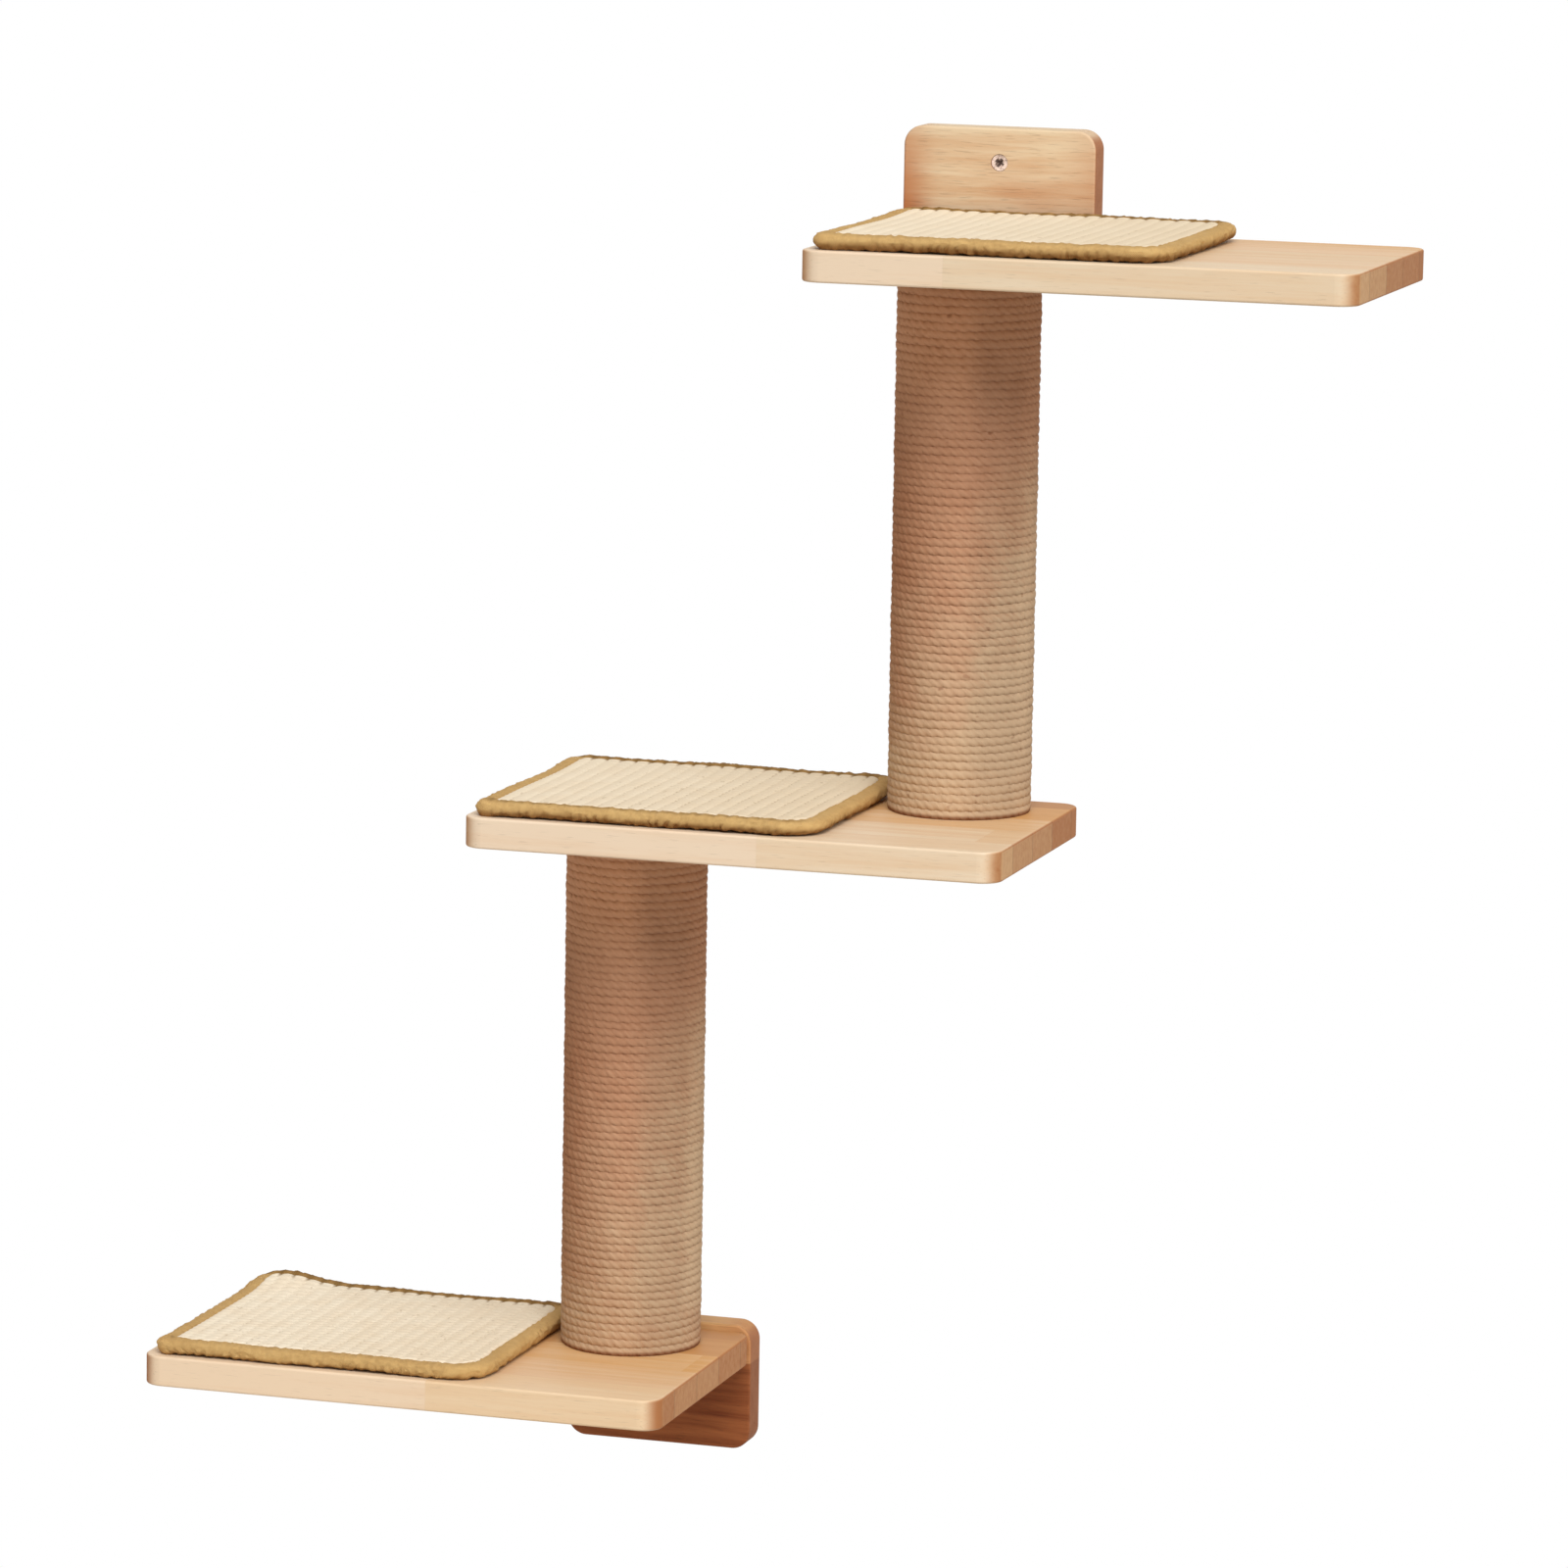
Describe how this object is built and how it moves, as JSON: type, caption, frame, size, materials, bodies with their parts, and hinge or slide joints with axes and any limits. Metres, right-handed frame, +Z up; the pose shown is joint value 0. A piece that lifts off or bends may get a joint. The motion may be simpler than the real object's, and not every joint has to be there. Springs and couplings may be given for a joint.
{
  "type": "cat wall shelf",
  "caption": "Stepped cat wall shelf: wooden boards joined by rope-wound scratching posts, held by wall plates at top and bottom, with a lift-off woven mat on each board.",
  "frame": {"origin": "where the upper wall screw's axis meets the wall, on the back face of the upper wall plate", "axes": "+X to the right along the boards, +Y into the wall, +Z up"},
  "size_m": [0.748, 0.256, 0.839],
  "materials": {
    "board_wood": "clear satin lacquer on pale edge-glued hardwood",
    "plate_wood": "clear satin lacquer on pale hardwood",
    "paper_tube": "raw wound paper",
    "sisal_rope": "twisted natural fibre rope",
    "plug_wood": "raw turned wood",
    "insert_brass": "plain",
    "bolt_steel": "zinc plated",
    "screw_steel": "zinc plated",
    "hook_tape": "woven hook tape",
    "loop_tape": "brushed loop tape",
    "mat_weave": "ribbed sisal weave",
    "mat_piping": "rolled woven binding"
  },
  "bodies": {
    "frame": {"lower_shelf": "board_wood", "middle_shelf": "board_wood", "upper_shelf": "board_wood", "lower_post_tube": "paper_tube", "upper_post_tube": "paper_tube", "lower_post_rope": "sisal_rope", "upper_post_rope": "sisal_rope", "lower_post_bottom_plug": "plug_wood", "lower_post_top_plug": "plug_wood", "upper_post_bottom_plug": "plug_wood", "upper_post_top_plug": "plug_wood", "post_insert_nuts": "insert_brass", "post_bolts": "bolt_steel", "lower_wall_plate": "plate_wood", "upper_wall_plate": "plate_wood", "plate_screws": "screw_steel", "lower_wall_screw": "screw_steel", "upper_wall_screw": "screw_steel", "lower_hook_pads": "hook_tape", "middle_hook_pads": "hook_tape", "upper_hook_pads": "hook_tape"},
    "lower_mat": {"lower_mat_panel": "mat_weave", "lower_mat_piping": "mat_piping", "lower_mat_loop_pads": "loop_tape"},
    "middle_mat": {"middle_mat_panel": "mat_weave", "middle_mat_piping": "mat_piping", "middle_mat_loop_pads": "loop_tape"},
    "upper_mat": {"upper_mat_panel": "mat_weave", "upper_mat_piping": "mat_piping", "upper_mat_loop_pads": "loop_tape"}
  },
  "joints": [
    {"name": "lower_mat_lift", "type": "slide", "parent": "frame", "child": "lower_mat", "axis": [0, 0, 1], "range_m": [0, 0.1]},
    {"name": "middle_mat_lift", "type": "slide", "parent": "frame", "child": "middle_mat", "axis": [0, 0, 1], "range_m": [0, 0.1]},
    {"name": "upper_mat_lift", "type": "slide", "parent": "frame", "child": "upper_mat", "axis": [0, 0, 1], "range_m": [0, 0.1]}
  ]
}
